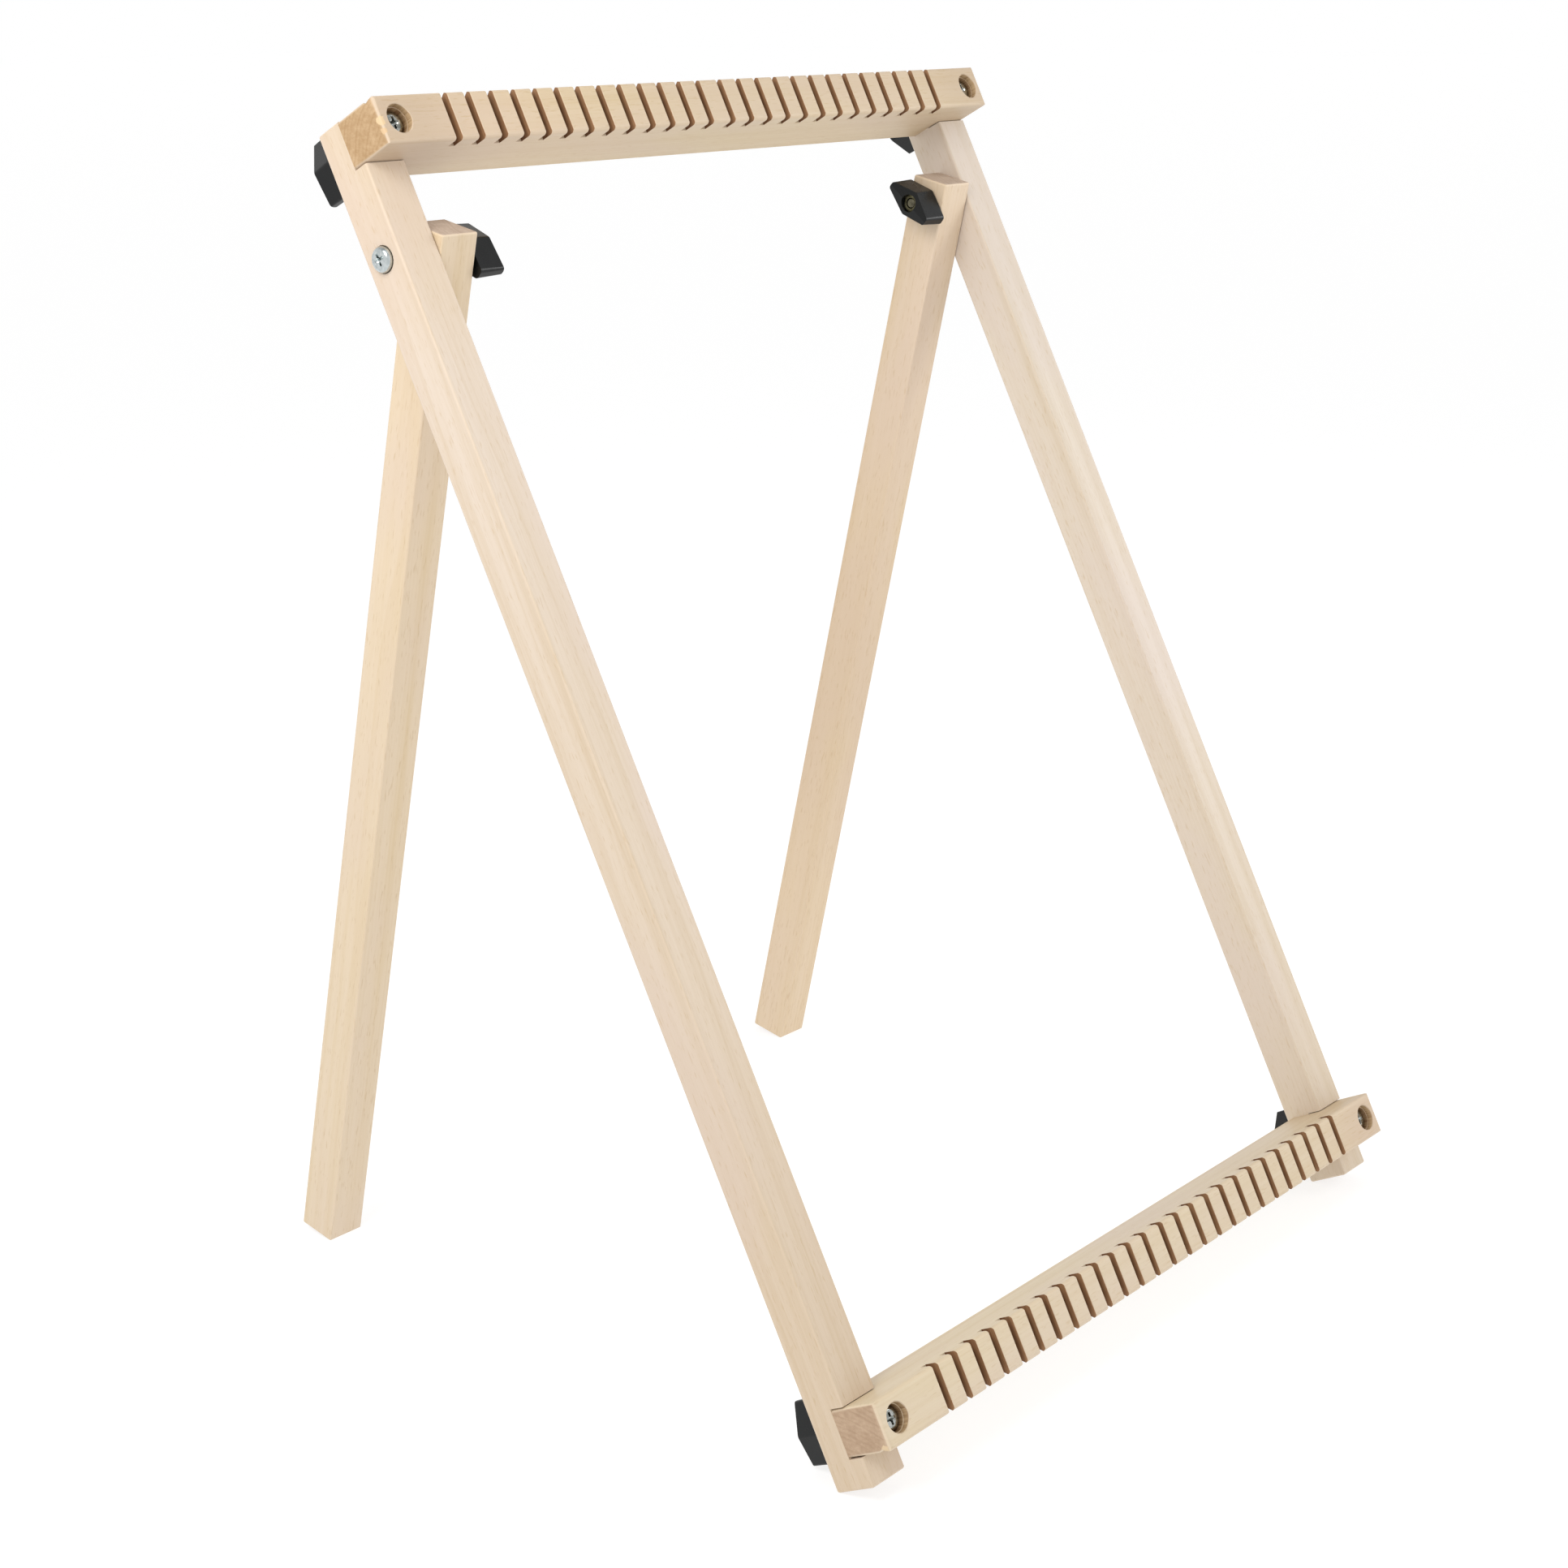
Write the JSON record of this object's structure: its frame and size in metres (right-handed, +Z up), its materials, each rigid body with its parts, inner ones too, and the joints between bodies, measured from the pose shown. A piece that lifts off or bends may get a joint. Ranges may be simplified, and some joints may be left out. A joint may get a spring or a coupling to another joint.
{
  "type": "tabletop weaving frame",
  "caption": "Wooden tabletop loom: a leaning frame with slotted crossbeams, bolted lap joints and two folding rear legs held by wing nuts.",
  "frame": {"origin": "on the table, at the middle of the loom's width and depth, with the rear legs open", "axes": "+Z up from the table; +X across the loom, to the right of a weaver who sits on the -Y side; the frame leans back towards +Y"},
  "size_m": [0.4024, 0.3648, 0.5213],
  "materials": {
    "upright_wood": "pale close-grained hardwood, sanded and oiled",
    "beam_wood": "pale close-grained hardwood, sanded and oiled, saw slots burnished brown",
    "leg_wood": "pale close-grained hardwood, sanded and oiled",
    "zinc_steel": "bright zinc plate",
    "insert_metal": "turned steel",
    "black_plastic": "moulded, satin"
  },
  "bodies": {
    "frame": {"bottom_crossbeam": "beam_wood", "bottom_left_screw": "zinc_steel", "bottom_left_washer": "zinc_steel", "bottom_right_screw": "zinc_steel", "bottom_right_washer": "zinc_steel", "left_pivot_bolt": "zinc_steel", "left_pivot_washer": "zinc_steel", "left_upright": "upright_wood", "right_pivot_bolt": "zinc_steel", "right_pivot_washer": "zinc_steel", "right_upright": "upright_wood", "top_crossbeam": "beam_wood", "top_left_screw": "zinc_steel", "top_left_washer": "zinc_steel", "top_right_screw": "zinc_steel", "top_right_washer": "zinc_steel"},
    "left_leg": {"left_leg": "leg_wood"},
    "right_leg": {"right_leg": "leg_wood"},
    "top_left_nut": {"top_left_wing_nut": "black_plastic", "top_left_nut_insert": "insert_metal"},
    "top_right_nut": {"top_right_wing_nut": "black_plastic", "top_right_nut_insert": "insert_metal"},
    "bottom_left_nut": {"bottom_left_wing_nut": "black_plastic", "bottom_left_nut_insert": "insert_metal"},
    "bottom_right_nut": {"bottom_right_wing_nut": "black_plastic", "bottom_right_nut_insert": "insert_metal"},
    "left_leg_nut": {"left_leg_wing_nut": "black_plastic", "left_leg_nut_insert": "insert_metal"},
    "right_leg_nut": {"right_leg_wing_nut": "black_plastic", "right_leg_nut_insert": "insert_metal"}
  },
  "joints": [
    {"name": "left_leg_swing", "type": "hinge", "parent": "frame", "child": "left_leg", "pos_m": [-0.16775, 0.07291, 0.4601], "axis": [1, 0, 0], "range_deg": [-40, 50]},
    {"name": "right_leg_swing", "type": "hinge", "parent": "frame", "child": "right_leg", "pos_m": [0.16775, 0.07291, 0.4601], "axis": [1, 0, 0], "range_deg": [-40, 50]},
    {"name": "top_left_nut_turn", "type": "hinge", "parent": "frame", "child": "top_left_nut", "pos_m": [-0.1882, 0.10411, 0.49591], "axis": [0, 0.8856, -0.4645], "continuous": true},
    {"name": "top_right_nut_turn", "type": "hinge", "parent": "frame", "child": "top_right_nut", "pos_m": [0.1882, 0.10411, 0.49591], "axis": [0, 0.8856, -0.4645], "continuous": true},
    {"name": "bottom_left_nut_turn", "type": "hinge", "parent": "frame", "child": "bottom_left_nut", "pos_m": [-0.1882, -0.14569, 0.01964], "axis": [0, 0.8856, -0.4645], "continuous": true},
    {"name": "bottom_right_nut_turn", "type": "hinge", "parent": "frame", "child": "bottom_right_nut", "pos_m": [0.1882, -0.14569, 0.01964], "axis": [0, 0.8856, -0.4645], "continuous": true},
    {"name": "left_leg_nut_turn", "type": "hinge", "parent": "frame", "child": "left_leg_nut", "pos_m": [-0.1569, 0.07291, 0.4601], "axis": [1, 0, 0], "continuous": true},
    {"name": "right_leg_nut_turn", "type": "hinge", "parent": "frame", "child": "right_leg_nut", "pos_m": [0.1569, 0.07291, 0.4601], "axis": [-1, 0, 0], "continuous": true}
  ]
}
